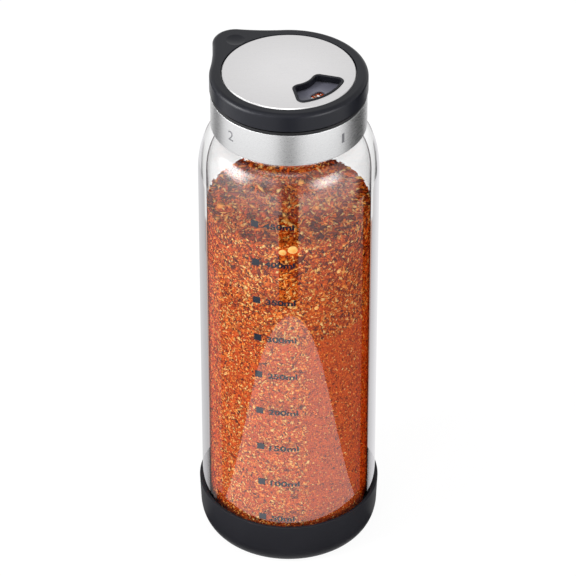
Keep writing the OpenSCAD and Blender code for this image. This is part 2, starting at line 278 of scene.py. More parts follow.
def boolean(target, tool, operation="DIFFERENCE"):
    """Cuts a tool out of the target, or joins it on, and removes the tool."""
    modifier = target.modifiers.new("boolean", "BOOLEAN")
    modifier.object, modifier.operation, modifier.solver = tool, operation, "EXACT"
    made = shown_mesh(target)
    target.modifiers.clear()
    target.data = made
    bpy.data.objects.remove(tool)
    return target


def drum(r, low, high, centre=(0, 0), steps=96):
    """A plain round cutter from height low to height high."""
    return prism("cutter", lambda inset: circle(r, steps, centre), [(low, 0), (high, 0)])


def place(piece, body, slot, *nodes):
    """Attaches a piece to its body and hides the nodes that it replaces; the slot is not used."""
    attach(piece, body)
    if nodes:
        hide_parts(*nodes)


# ---- materials
def new_material(name):
    material = bpy.data.materials.new(name)
    material.use_nodes = True
    material.node_tree.nodes.clear()
    return material, material.node_tree


def add(tree, kind, inputs=None, **settings):
    """Adds a shader node; an input is a socket to link from, or a constant."""
    made = tree.nodes.new("ShaderNode" + kind)
    for key, value in settings.items():
        setattr(made, key, value)
    for key, value in (inputs or {}).items():
        if isinstance(value, bpy.types.NodeSocket):
            tree.links.new(value, made.inputs[key])
        else:
            made.inputs[key].default_value = value
    return made


def maths(tree, operation, *operands, clamp=False):
    """Output of a Math node; its operands are sockets or constants."""
    inputs = dict(enumerate(operands))
    return add(tree, "Math", inputs, operation=operation, use_clamp=clamp).outputs[0]


def mix(tree, factor, first, second):
    """Output that goes from a first to a second colour."""
    return add(tree, "MixRGB", {"Fac": factor, "Color1": first, "Color2": second}).outputs["Color"]


def ramp(tree, factor, stops):
    """Colour ramp with stops of (position, linear colour or plain grey)."""
    made = add(tree, "ValToRGB", {"Fac": factor})
    elements = made.color_ramp.elements
    while len(elements) < len(stops):
        elements.new(1.0)
    for element, (position, colour) in zip(elements, stops):
        element.position = position
        element.color = (colour, colour, colour, 1) if isinstance(colour, float) else (*colour, 1)
    return made.outputs["Color"]


def remap(tree, value, before=(0.0, 1.0), after=(0.0, 1.0), curve="LINEAR"):
    """Maps one range to another and stops at its ends."""
    return add(tree, "MapRange", {
        "Value": value, "From Min": before[0], "From Max": before[1], "To Min": after[0], "To Max": after[1]},
        interpolation_type=curve).outputs["Result"]


def share_between(tree, length, low, high):
    """0 below a length in millimetres, 1 above another."""
    return remap(tree, length, (low * MM, high * MM))


def object_space(tree):
    return add(tree, "TexCoord").outputs["Object"]


def object_noise(tree, scale, detail=3.0, roughness=0.5):
    """Noise in object space; scale counts cells in a millimetre."""
    return add(tree, "TexNoise", {
        "Vector": object_space(tree), "Scale": scale / MM,
        "Detail": detail, "Roughness": roughness}).outputs["Fac"]


def broad_noise(tree, scale=0.05):
    """Slow change over the whole piece."""
    return object_noise(tree, scale, 2.0)


def surface(tree, shader):
    add(tree, "OutputMaterial", {"Surface": shader.outputs[0]})


def mixed_surface(tree, factor, first, second):
    surface(tree, add(tree, "MixShader", {0: factor, 1: first.outputs[0], 2: second.outputs[0]}))


def bumped(tree, height, strength, distance):
    return add(tree, "Bump", {
        "Height": height, "Strength": strength, "Distance": distance * MM}).outputs["Normal"]


def tones(colour, contrast):
    """A darker and a lighter tone of a colour."""
    return [c * (1 - contrast) for c in colour], [c * (1 + contrast) for c in colour]


def moulded_material(name, colour, roughness, grain=6.0, depth=0.01, specular=0.5):
    """Moulded plastic or rubber: fine grain in height, gloss and colour."""
    contrast, gloss_spread, strength = 0.1, 0.05, 0.4
    material, tree = new_material(name)
    fine = object_noise(tree, grain, 4.0)
    dark, light = tones(colour, contrast)
    shader = add(tree, "BsdfPrincipled", {
        "Base Color": ramp(tree, broad_noise(tree), [(0.3, dark), (0.7, light)]),
        "Roughness": remap(tree, fine, after=(roughness - gloss_spread, roughness + gloss_spread)),
        "Specular IOR Level": specular,
        "Normal": bumped(tree, fine, strength, depth)})
    surface(tree, shader)
    return material


def round_coordinates(tree):
    """Object space turned into angle round Z, radius and height, so that noise can follow a turned piece."""
    x, y, z = add(tree, "SeparateXYZ", {"Vector": object_space(tree)}).outputs
    squares = [maths(tree, "POWER", v, 2.0) for v in (x, y)]
    return maths(tree, "ARCTAN2", y, x), maths(tree, "POWER", maths(tree, "ADD", *squares), 0.5), z


def steel_material(name, colour, roughness, spread, round_brushed,
                   line_depth=0.002, contrast=0.05, painted_rim_shade=0.0):
    """Brushed stainless steel: lines along the brushing, and a highlight that spreads across them. It can
    darken towards the rim of the disc, as painted shade."""
    line_cells, strength, smoother, rougher = 9.0, 0.25, 0.04, 0.06
    material, tree = new_material(name)
    angle, radius, z = round_coordinates(tree)
    if round_brushed:
        lines = add(tree, "CombineXYZ", {"X": angle, "Y": radius, "Z": z}).outputs[0]
        stretch = (0.002, 1, 1)
    else:
        lines = object_space(tree)
        stretch = (0.03, 1, 1)
    mapped = add(tree, "Mapping", {"Vector": lines, "Scale": stretch}).outputs["Vector"]
    strokes = add(tree, "TexNoise", {
        "Vector": mapped, "Scale": line_cells / MM, "Detail": 3.0, "Roughness": 0.6}).outputs["Fac"]
    dark, light = tones(colour, contrast)
    base = ramp(tree, strokes, [(0.25, dark), (0.75, light)])
    # Painted shade: the colour darkens towards the rim of the disc
    rim_shade = remap(tree, share_between(tree, radius, DISC_R * 0.3, DISC_R), after=(1.0, 1.0 - painted_rim_shade))
    rim_shaded = add(tree, "VectorMath", {0: base, "Scale": rim_shade}, operation="SCALE").outputs[0]
    shader = add(tree, "BsdfPrincipled", {
        "Base Color": rim_shaded,
        "Metallic": 1.0,
        "Roughness": remap(tree, strokes, after=(roughness - smoother, roughness + rougher)),
        "Anisotropic": spread,
        "Normal": bumped(tree, strokes, strength, line_depth)})
    if spread:
        tangent = add(tree, "Tangent", direction_type="RADIAL", axis="Z")
        tree.links.new(tangent.outputs["Tangent"], shader.inputs["Tangent"])
    surface(tree, shader)
    return material


# What the glass lets through, from face on to edge on: in front of the spice, and where the jar is empty.
# Towards edge on
# both are painted light: painted orange, a painted dark line and painted pale grey in front of the spice, and
# a painted grey band over the glass's faint own grey where the jar is empty
FULL_TINT_AND_PAINTED_EDGE = [
    (0.44, 1.0), (0.50, (0.99, 0.87, 0.73)), (0.55, (0.98, 0.72, 0.48)), (0.64, (0.95, 0.54, 0.34)),
    (0.673, (0.68, 0.41, 0.31)), (0.688, (0.36, 0.33, 0.35)), (0.71, (0.70, 0.68, 0.70)),
    (0.73, 0.84), (1.0, 0.92)]
EMPTY_TINT_AND_PAINTED_EDGE = [(0.2, 0.965), (0.56, 0.955), (0.68, 0.92), (0.73, 0.86), (1.0, 0.92)]

# Colour of the painted dark line, a painted shade, where the bore turns away, and where between face on and
# edge on it comes in
BORE_SHADE_LINE = (0.24, 0.21, 0.22, 1)
BORE_TURN = (0.78, 0.93)

# Colour and share of what the outer face mirrors, from face on to edge on, and the bore's even share. The
# colour dips to a painted dark band, a painted shade in the reflection, near edge on
SHINE_AND_PAINTED_DARK_BAND = [
    (0.60, 1.0), (0.68, (0.72, 0.66, 0.65)), (0.71, (0.50, 0.475, 0.48)), (0.74, (0.56, 0.55, 0.565)),
    (0.79, (0.66, 0.65, 0.67)), (0.87, (0.76, 0.755, 0.775)), (1.0, 0.9)]
MIRROR = [
    (0.0, 0.07), (0.42, 0.08), (0.55, 0.10), (0.685, 0.15),
    (0.705, 0.5), (0.72, 0.76), (0.78, 0.86), (1.0, 0.93)]
BORE_MIRROR = (0.06, 0.06, 0.06, 1)


def glass_smear(tree, z):
    """Roughness of the glass: clear on the wall, softer on the shoulder, and a little uneven."""
    clear, soft, uneven = 0.025, 0.17, 0.01
    shoulder = share_between(tree, z, SHOULDER_Z + 7, SHOULDER_Z + 10)
    return maths(tree, "ADD", remap(tree, shoulder, after=(clear, soft)),
                 remap(tree, broad_noise(tree), after=(-uneven, uneven)))


def glass_material():
    """Clear glass: it mirrors more towards grazing, and the bore is wetted by the spice as far up as that
    reaches. Edge on, painted light stands in for the wall's bending: painted orange, a painted dark line and
    painted pale grey in what it lets through, a painted dark line of shade on the bore, and a painted dark
    band in what it mirrors."""
    material, tree = new_material("clear_glass")
    radius, z = round_coordinates(tree)[1:]
    outside = share_between(tree, radius, GLASS_IN_R + 0.3, GLASS_IN_R + 0.8)
    inside = maths(tree, "SUBTRACT", 1.0, outside)
    above = share_between(tree, z, FILL_RIM, FILL_TOP + 0.8)
    free = maths(tree, "MAXIMUM", outside, above)
    facing = add(tree, "LayerWeight", {"Blend": 0.5}).outputs["Facing"]
    seen = maths(tree, "MULTIPLY", facing, free)
    away = add(tree, "NewGeometry").outputs["Backfacing"]
    plain = maths(tree, "MAXIMUM", above, away)
    # Painted light: edge on, this tint paints orange, a dark line and pale grey in place of the wall's
    # bending
    tint = mix(tree, plain, ramp(tree, seen, FULL_TINT_AND_PAINTED_EDGE), ramp(tree, seen, EMPTY_TINT_AND_PAINTED_EDGE))
    # Painted shade: a dark line on the bore where it turns edge on
    line = maths(tree, "MULTIPLY", remap(tree, facing, BORE_TURN), inside)
    clear = add(tree, "BsdfTransparent", {"Color": mix(tree, line, tint, BORE_SHADE_LINE)})
    # Painted shade: the mirrored light dips to a dark band near edge on
    gloss = add(tree, "BsdfAnisotropic", {
        "Color": ramp(tree, seen, SHINE_AND_PAINTED_DARK_BAND), "Roughness": glass_smear(tree, z)})
    mirror = mix(tree, inside, ramp(tree, seen, MIRROR), BORE_MIRROR)
    kept = maths(tree, "MULTIPLY", free, remap(tree, away, after=(1.0, 0.0)))
    mixed_surface(tree, maths(tree, "MULTIPLY", mirror, kept), clear, gloss)
    return material


# Spice colours in linear light, from the darkest to the palest piece
SPICE_STOPS = [
    (0.00, (0.105, 0.022, 0.016)), (0.14, (0.19, 0.028, 0.010)), (0.32, (0.43, 0.048, 0.006)),
    (0.52, (0.70, 0.100, 0.008)), (0.72, (0.90, 0.210, 0.022)), (0.86, (0.96, 0.350, 0.060)),
    (0.96, (0.97, 0.540, 0.160)), (1.00, (0.97, 0.620, 0.230))]


def spice_material(name, from_tint):
    """Dried chili: every chip takes its colour from its own tint, the powder from noise."""
    material, tree = new_material(name)
    fleck = object_noise(tree, 2.2, 3.0, 0.7)
    if from_tint:
        tint = add(tree, "Attribute", attribute_name="tint").outputs["Fac"]
        shift = remap(tree, fleck, after=(-0.08, 0.08))
    else:
        tint = remap(tree, fleck, after=(-0.1, 0.95))
        shift = remap(tree, broad_noise(tree, 0.12), after=(-0.05, 0.05))
    shader = add(tree, "BsdfPrincipled", {
        "Base Color": ramp(tree, maths(tree, "ADD", tint, shift, clamp=True), SPICE_STOPS),
        "Roughness": remap(tree, fleck, after=(0.45, 0.75)),
        "Specular IOR Level": 0.04,
        "Normal": bumped(tree, fleck, 0.5, 0.05)})
    surface(tree, shader)
    return material


def print_material():
    """Printed ink under the same gloss as the glass."""
    return moulded_material("scale_ink", (0.010, 0.014, 0.026), 0.09, grain=1.5, depth=0.0002, specular=0.85)


# ---- jar
def glass_profile():
    shoulder = (GLASS_R - NECK_R - NECK_FILLET, SHOULDER_H)
    neck_in = NECK_R - GLASS_WALL
    rim_round = (RIM_ROUND, RIM_ROUND)
    return (
        arc((0, GLASS_Z), PUNT, 90, 0, 12)
        + arc((GLASS_R - HEEL[0], GLASS_Z + HEEL[1]), HEEL, -90, 0)
        + arc((NECK_R + NECK_FILLET, SHOULDER_Z), shoulder, 0, 90, 40)
        + arc((NECK_R + NECK_FILLET, NECK_Z + NECK_FILLET), (NECK_FILLET,) * 2, 270, 180, 8)
        + arc((NECK_R - RIM_ROUND, RIM_Z - RIM_ROUND), rim_round, 0, 90, 8)
        + arc((neck_in + RIM_ROUND, RIM_Z - RIM_ROUND), rim_round, 90, 180, 8)
        + arc((neck_in, SHOULDER_Z), (GLASS_IN_R - neck_in, SHOULDER_H - GLASS_WALL), 90, 0, 40)
        + arc((GLASS_IN_R - FLOOR_ROUND[0], FLOOR_Z + FLOOR_ROUND[1]), FLOOR_ROUND, 0, -90)
        + [(0, FLOOR_Z)])


def helix_ridge(name, wall_r, outward, thread, material):
    """Thread ridge that runs out at both ends; outward is 1 on the neck and -1 in the skirt."""
    low_z, turns, start = thread
    steps = int(turns * 96)
    runout, least_lift = 0.12, 0.04
    half_root, half_flank, half_crest = 0.95, 0.4375, 0.21
    flank_share = 0.8
    root_r, crest_r = wall_r + outward * THREAD_ROOT, wall_r + outward * THREAD_CREST
    loops = []
    for i in range(steps + 1):
        share = i / steps
        rise = min(1.0, share / runout, (1 - share) / runout)
        lift = least_lift + (1 - least_lift) * math.sin(rise * math.pi / 2)
        angle = math.radians(start) + TURN * turns * share
        z = low_z + THREAD_PITCH * turns * share
        tip = root_r + (crest_r - root_r) * lift
        flank = root_r + (tip - root_r) * flank_share
        lower = [(root_r, -half_root), (flank, -half_flank), (tip, -half_crest)]
        section = lower + [(r, -dz) for r, dz in reversed(lower)]
        loops.append([(r * math.cos(angle), r * math.sin(angle), z + dz) for r, dz in section])
    return finish_mesh(loft(name, loops, material), 50)


def make_jar(glass):
    body = finish_mesh(turned("glass_body", glass_profile(), glass, 256))
    place(body, "jar", "clear_glass", "jar_glass")
    place(helix_ridge("neck_thread", NECK_R, 1, NECK_THREAD, glass), "jar", "clear_glass")


def make_boot(material):
    foot_r = GLASS_R - HEEL[0]
    ring_in = foot_r - FOOT_W
    lip_round = 0.4
    inside = arc((foot_r, GLASS_Z + HEEL[1]), (HEEL[0] + SEAT_GAP, HEEL[1] + SEAT_GAP), 0, -90)
    profile = (
        [(0, FOOT_RECESS), (ring_in, FOOT_RECESS)]
        + arc((ring_in + FOOT_RECESS, FOOT_RECESS), (FOOT_RECESS,) * 2, 180, 270, 6)
        + arc((foot_r, GLASS_Z + HEEL[1]), (BOOT_R - foot_r, GLASS_Z + HEEL[1]), -90, 0, 24)
        + arc((LIP_R - lip_round, BOOT_H - lip_round), (lip_round,) * 2, 0, 90, 6)
        + [(GLASS_R + SEAT_GAP, BOOT_H)] + inside + [(0, GLASS_Z - SEAT_GAP)])
    place(finish_mesh(turned("boot_sleeve", profile, material, 256)), "jar", "boot_rubber", "base_boot")


# ---- spice
SPICE_TOP = BVHTree.FromObject(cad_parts["spice_fill"], bpy.context.evaluated_depsgraph_get())


def fill_height(x, y):
    """Height of the solid spice's lumpy top at a place, in millimetres."""
    hit = SPICE_TOP.ray_cast(Vector((x * MM, y * MM, FILL_TOP * MM + 0.01)), Vector((0, 0, -1)))[0]
    return hit.z / MM if hit else FILL_RIM


def fill_profile():
    """Upper and outer face of the spice, from the bottom centre to the top centre."""
    gap = GLASS_IN_R - FILL_R
    heel = arc((GLASS_IN_R - FLOOR_ROUND[0], FLOOR_Z + FLOOR_ROUND[1]),
               (FLOOR_ROUND[0] - gap, FLOOR_ROUND[1] - gap), -90, 0, 12)
    wall_steps = 190
    wall = [(FILL_R, z) for z in np.linspace(FLOOR_Z + FLOOR_ROUND[1], FILL_RIM, wall_steps)][1:]
    top = [(r, FILL_RIM) for r in np.linspace(FILL_R, 0, 60)[1:]]
    return [(0, FILL_BOTTOM)] + heel + wall + top


def make_spice_bed(material):
    """The bulk of the spice, roughened by noise and kept a little inside the chips."""
    bed = finish_mesh(turned("spice_bed", fill_profile(), material, 300), 180)
    sink, depth, wall_share = 0.35, 0.4, 0.7
    grain, finer = 1.1, 2.3
    top_edge, wall_edge = 0.3, 0.5
    for vertex in bed.data.vertices:
        spot = vertex.co / MM
        lump = noise.noise(spot * grain) * depth + noise.noise(spot * grain * finer) * depth / 2 - sink
        r = math.hypot(spot.x, spot.y)
        if spot.z > FILL_RIM - top_edge:
            reach = min(1.0, (FILL_R - top_edge) / max(r, 1.0))
            spot.z = fill_height(spot.x * reach, spot.y * reach) + lump
        if r > FILL_R - wall_edge:
            spot += Vector((spot.x, spot.y, 0)) / r * lump * wall_share
        vertex.co = spot * MM
    place(bed, "jar", "chili_flakes", "spice_fill")


def turn_pair(first, second, angle):
    """Two axes turned in their own plane, the first towards the second."""
    c, s = np.cos(angle), np.sin(angle)
    return first * c + second * s, second * c - first * s


def chips(name, random, spots, sizes, tints, tilt, material):
    """Flat irregular chips, each a closed eight-sided solid, lying on spots of (place, normal, along); their
    sizes are lengths, widths and thicknesses."""
    skew = 0.35
    count = len(spots[0])
    centre, normal, along = (np.asarray(part, float) for part in spots)
    spin = random.uniform(0, TURN, count)[:, None]
    lean = np.radians(random.normal(0, tilt, count))[:, None]
    roll = np.radians(random.normal(0, tilt, count))[:, None]
    axis_u = turn_pair(along, np.cross(normal, along), spin)[0]
    axis_u, axis_n = turn_pair(axis_u, normal, lean)
    axis_v, axis_n = turn_pair(np.cross(axis_n, axis_u), axis_n, roll)
    half = [np.asarray(size)[:, None] / 2 for size in sizes]
    corners = []
    for u, v, n in ((1, 0, 0), (0, 1, 0), (-1, 0, 0), (0, -1, 0), (0, 0, 1), (0, 0, -1)):
        shake = random.uniform(-skew, skew, (3, count, 1))
        corners.append(centre + axis_u * half[0] * (u + shake[0]) + axis_v * half[1] * (v + shake[1])
                       + axis_n * half[2] * (n + shake[2] * 0.5))
    points = np.stack(corners, 1)
    radius = np.hypot(points[..., 0], points[..., 1])
    squeeze = np.minimum(1.0, (FILL_LIMIT - room_for_seeds(points)) / np.maximum(radius, 1e-6))
    points[..., 0] *= squeeze
    points[..., 1] *= squeeze
    triangles = [(0, 1, 4), (1, 2, 4), (2, 3, 4), (3, 0, 4), (1, 0, 5), (2, 1, 5), (3, 2, 5), (0, 3, 5)]
    faces = (np.arange(count)[:, None, None] * 6 + np.array(triangles)[None]).reshape(-1, 3)
    return solid_from_arrays(name, points.reshape(-1, 3), faces, np.repeat(tints, 6), material)


def room_for_seeds(points):
    """How far the chips keep back from the glass at their places, to leave the seeds in front."""
    angle = np.degrees(np.arctan2(points[..., 1], points[..., 0])) - FRONT
    reach, room = 0.62, 0.9
    back = np.zeros(angle.shape)
    for side, z, size in SEEDS:
        aside = np.radians((angle - side + 180) % 360 - 180) * GLASS_IN_R
        back[np.hypot(aside, points[..., 2] - z) < size * reach] = room
    return back


def add_tints(mesh, tints):
    layer = mesh.attributes.new("tint", "FLOAT", "POINT")
    layer.data.foreach_set("value", np.asarray(tints, np.float32))


def solid_from_arrays(name, points, faces, tints, material):
    """Mesh from arrays of points in millimetres and equal-sided faces, with a tint for every point."""
    mesh = bpy.data.meshes.new(name)
    sides = faces.shape[1]
    mesh.vertices.add(len(points))
    mesh.vertices.foreach_set("co", (points * MM).astype(np.float32).ravel())
    mesh.loops.add(faces.size)
    mesh.loops.foreach_set("vertex_index", faces.astype(np.int32).ravel())
    mesh.polygons.add(len(faces))
    mesh.polygons.foreach_set("loop_start", np.arange(0, faces.size, sides, dtype=np.int32))
    mesh.update(calc_edges=True)
    add_tints(mesh, tints)
    mesh.validate()
    return add_object(name, mesh, material)


ALL_ROUND = (0, 360)


def lying(r, angle, z):
    """Spots of (place, normal, along) on a level face."""
    c, s, zero = np.cos(angle), np.sin(angle), np.zeros(len(angle))
    return np.stack([r * c, r * s, z], 1), np.stack([zero, zero, zero + 1], 1), np.stack([c, s, zero], 1)


def wall_spots(random, count, low, high, side=ALL_ROUND, depth=0.5):
    """Places on the spice's outer face, between two heights and two angles from the front."""
    angle = np.radians(FRONT + random.uniform(side[0], side[1], count))
    z = random.uniform(low, high, count)
    proud = 0.15
    r = FILL_R + proud - random.uniform(0.0, depth, count)
    c, s, zero = np.cos(angle), np.sin(angle), np.zeros(count)
    return np.stack([r * c, r * s, z], 1), np.stack([c, s, zero], 1), np.stack([-s, c, zero], 1)


def top_spots(random, count, lift, inner=0.0, side=ALL_ROUND):
    """Places on the spice's mounded top, outside an inner share of its radius and between two angles."""
    angle = np.radians(FRONT + random.uniform(side[0], side[1], count))
    edge, within = 0.995, 0.99
    r = FILL_R * np.sqrt(random.uniform(inner ** 2, 1, count)) * edge
    heights = [fill_height(x, y) for x, y in zip(r * np.cos(angle) * within, r * np.sin(angle) * within)]
    return lying(r, angle, np.array(heights) + random.uniform(lift[0], lift[1], count))


def log_sizes(random, count, middle, spread, limit):
    """Sizes spread round a middle value by their logarithm, up to a limit."""
    return np.minimum(middle * np.exp(random.normal(0, spread, count)), limit)


def tint_mix(random, count, middle, spread, pale, dark):
    """Tints round a middle value, with a share of pale and of dark pieces."""
    tints = random.normal(middle, spread, count)
    pick = random.uniform(0, 1, count)
    tints = np.where(pick < pale, random.uniform(0.88, 1.0, count), tints)
    tints = np.where(pick > 1 - dark, random.uniform(0.0, 0.2, count), tints)
    return np.clip(tints, 0, 1)


# Layers of chips: name, where they lie, count and place; middle, spread and limit of the lengths and of the
# widths; thickness; middle, spread, pale and dark share of the tints; tilt
CHIP_LAYERS = [
    ("fine_chips", wall_spots, 15000, (13, 132, (-180, 12)),
     (1.1, 0.35, 2.2), (0.75, 0.3, 1.5), 0.35, (0.57, 0.23, 0.05, 0.09), 22),
    ("powder_chips", wall_spots, 24000, (13, 128, (8, 180)),
     (0.8, 0.3, 1.5), (0.6, 0.3, 1.1), 0.3, (0.56, 0.18, 0.015, 0.07), 18),
    ("sliver_chips", wall_spots, 8000, (16, 135, (-120, 14)),
     (1.6, 0.4, 3.8), (0.7, 0.3, 1.2), 0.3, (0.70, 0.2, 0.12, 0.08), 22),
    ("upper_chips", wall_spots, 20000, (104, FILL_RIM + 0.8),
     (1.5, 0.4, 3.5), (0.95, 0.35, 2.0), 0.3, (0.55, 0.27, 0.05, 0.09), 25),
    ("coarse_chips", wall_spots, 700, (122, FILL_RIM, ALL_ROUND, 0.2),
     (2.8, 0.35, 6.0), (1.4, 0.3, 2.6), 0.4, (0.45, 0.22, 0.08, 0.2), 16),
    ("dark_flakes", wall_spots, 90, (134, FILL_RIM, ALL_ROUND, 0.1),
     (5.0, 0.3, 8.0), (2.1, 0.3, 3.4), 0.4, (0.10, 0.07, 0.0, 0.3), 14),
    ("top_chips", top_spots, 5500, ((-0.3, 0.4),),
     (1.9, 0.4, 4.5), (1.0, 0.35, 2.4), 0.4, (0.62, 0.22, 0.10, 0.06), 24),
    ("top_flakes", top_spots, 200, ((-0.2, 0.9),),
     (4.0, 0.3, 6.0), (2.0, 0.3, 3.0), 0.5, (0.42, 0.25, 0.05, 0.2), 22),
    ("dark_top_flakes_left", top_spots, 10, ((0.1, 1.0), 0.55, (-108, -70)),
     (5.2, 0.3, 8.0), (2.2, 0.3, 3.4), 0.4, (0.09, 0.06, 0.0, 0.3), 14),
    ("dark_top_flakes_right", top_spots, 22, ((0.1, 1.0), 0.55, (24, 68)),
     (5.2, 0.3, 8.0), (2.2, 0.3, 3.4), 0.4, (0.09, 0.06, 0.0, 0.3), 14),
    ("rim_flakes_left", top_spots, 80, ((0.4, 2.1), 0.84, (-160, -108)),
     (3.6, 0.3, 5.5), (2.0, 0.3, 3.0), 0.5, (0.40, 0.25, 0.05, 0.2), 12),
    ("rim_flakes_right", top_spots, 60, ((0.3, 1.8), 0.84, (110, 156)),
     (3.6, 0.3, 5.5), (2.0, 0.3, 3.0), 0.5, (0.40, 0.25, 0.05, 0.2), 12)]


def make_chips(material):
    random = np.random.default_rng(SEED)
    thickness_spread = 0.3
    for name, spots_on, count, where, length, width, thickness, tint, tilt in CHIP_LAYERS:
        spots = spots_on(random, count, *where)
        tints = tint_mix(random, count, *tint)
        sizes = [log_sizes(random, count, *size)
                 for size in (length, width, (thickness, thickness_spread, thickness * 2))]
        place(chips(name, random, spots, sizes, tints, tilt, material), "jar", "chili_flakes")


# Seeds at the glass: angle from the front, height and size
SEEDS = ((-4.2, 146.0, 3.2), (3.0, 147.2, 4.2), (38.0, 133.0, 2.2), (20.0, 119.5, 2.0), (-21.0, 122.0, 1.8))


def make_seeds(material):
    """Flat pale seeds pressed against the glass, with painted shade in orange near each middle."""
    seat, flat, plump = 0.45, 0.8, 0.85
    pale, centre_shade, centre_shade_r = 0.97, 0.13, 0.35
    points, faces, tints = [], [], []
    for angle, z, size in SEEDS:
        radial, sideways = directions(FRONT + angle)
        ball = bmesh.new()
        bmesh.ops.create_icosphere(ball, subdivisions=2, radius=0.5)
        start = len(points)
        for vertex in ball.verts:
            u, v, n = vertex.co
            dent = 1 - 0.25 * max(0.0, 0.8 - math.hypot(u - 0.4, v))
            # Painted shade: each seed's colour darkens to orange towards a spot near its middle
            tints.append(pale - centre_shade * max(0.0, 1 - math.hypot(u - 0.1, v + 0.1) / centre_shade_r))
            spot = radial * (FILL_LIMIT - seat + n * flat) + sideways * u * size * dent
            points.append(tuple(spot + Vector((0, 0, z + v * size * plump))))
        faces += [tuple(start + vertex.index for vertex in face.verts) for face in ball.faces]
        ball.free()
    seeds = finish_mesh(add_solid("pale_seeds", points, faces, material), 180)
    add_tints(seeds.data, tints)
    place(seeds, "jar", "chili_flakes")


# ---- lid
def make_band(material):
    bend, top_round = 0.35, 0.12
    hem_r = BAND_R - BAND_T - HEM_W
    profile = (
        [(hem_r, BAND_Z)]
        + arc((BAND_R - bend, BAND_Z + bend), (bend, bend), -90, 0, 8)
        + arc((BAND_R - top_round, BAND_TOP - top_round), (top_round, top_round), 0, 90, 4)
        + [(BAND_R - BAND_T, BAND_TOP), (BAND_R - BAND_T, BAND_Z + BAND_T), (hem_r, BAND_Z + BAND_T)])
    place(finish_mesh(turned("band_sleeve", profile, material, 256)), "lid", "band_steel", "lid_band")


def plate_profile(radius, low, high, bevel):
    """Profile of a round plate with a bevelled upper edge."""
    return [(0, low), (radius, low), (radius, high - bevel), (radius - bevel, high), (0, high)]


def make_sifter(material):
    bevel = 0.2
    plate = turned("sifter_insert", plate_profile(PLATE_R, PLATE_Z, PLATE_TOP, bevel), material, 160)
    below, above = PLATE_Z - 1, PLATE_TOP + 1
    boolean(plate, drum(BOSS_R + RUN_GAP, below, above))
    flare = [(below, 0), (PLATE_TOP - bevel, 0), (PLATE_TOP + PROUD, -bevel)]
    boolean(plate, prism("cutter", lambda inset: sector(SLOT, inset), flare, POUR_DIR))
    for count, radius in SPRINKLE_ROWS:
        step = 2 * math.degrees(math.asin(SPRINKLE_STEP / 2 / radius))
        for i in range(count):
            middle = polar(radius, SPRINKLE_DIR + (i - (count - 1) / 2) * step)
            boolean(plate, drum(SPRINKLE_R, below, above, middle, 48))
    place(finish_mesh(plate), "lid", "sifter_plastic", "sifter_plate")


def make_slot_flakes(material):
    """A few flakes caught in the pour slot."""
    random = np.random.default_rng(SEED + 1)
    count, depth, thickness = 26, 0.55, 0.35
    middle = (SLOT[0] + SLOT[1]) / 2
    r = middle + random.uniform(-3.1, 2.6, count)
    angle = np.radians(POUR_DIR + random.uniform(-9.5, 9.5, count))
    z = PLATE_TOP - depth + random.uniform(-0.25, 0.25, count)
    spots = lying(r, angle, z)
    sizes = (log_sizes(random, count, 2.3, 0.25, 3.4), log_sizes(random, count, 1.3, 0.25, 2.0),
             np.full(count, thickness))
    tints = tint_mix(random, count, 0.36, 0.16, 0.03, 0.1)
    place(chips("slot_flakes", random, spots, sizes, tints, 12, material), "lid", "chili_flakes")


# ---- turning cap
def window_outline(inset):
    return sector(WINDOW, inset)


def dish_cutter():
    """Ball that sinks a shallow dish into the top of the thumb tab."""
    dish_r, dish_h = 14.0, 0.5
    ball = bmesh.new()
    bmesh.ops.create_uvsphere(ball, u_segments=96, v_segments=64, radius=dish_r)
    bmesh.ops.translate(ball, verts=ball.verts, vec=(*polar(TAB_C, TAB_DIR), CAP_TOP + dish_r - dish_h))
    mesh = bpy.data.meshes.new("cutter")
    ball.to_mesh(mesh)
    ball.free()
    return add_object("cutter", mesh)


def cap_body(material):
    """The cap's outer shape, hollow underneath, with the disc's recess and the thumb's dish on top."""
    low_edge, ease, rim_gap = 0.3, 0.15, 0.3
    layers = [(CAP_Z, low_edge), (CAP_Z + low_edge, 0)]
    layers += [(CAP_TOP - CAP_EDGE + up, CAP_EDGE - out)
               for out, up in arc((0, 0), (CAP_EDGE, CAP_EDGE), 0, 90, 14)]
    cap = prism("cap_moulding", cap_outline, layers, TAB_DIR, material)
    boolean(cap, drum(CLICK_R, CAP_Z - 1, ROOF_Z, steps=180))
    hollow = straight(cap_outline, TAB_WALL, CAP_Z - 1, ROOF_Z, TAB_DIR)
    boolean(hollow, drum(CAP_R, CAP_Z - 2, ROOF_Z + 1, steps=180))
    boolean(cap, hollow)
    boolean(cap, prism("cutter", lambda inset: circle(DISC_R + rim_gap - inset, 180),
                       [(RECESS_Z, 0), (CAP_TOP - ease, 0), (CAP_TOP + PROUD, -ease)]))
    return boolean(cap, dish_cutter())


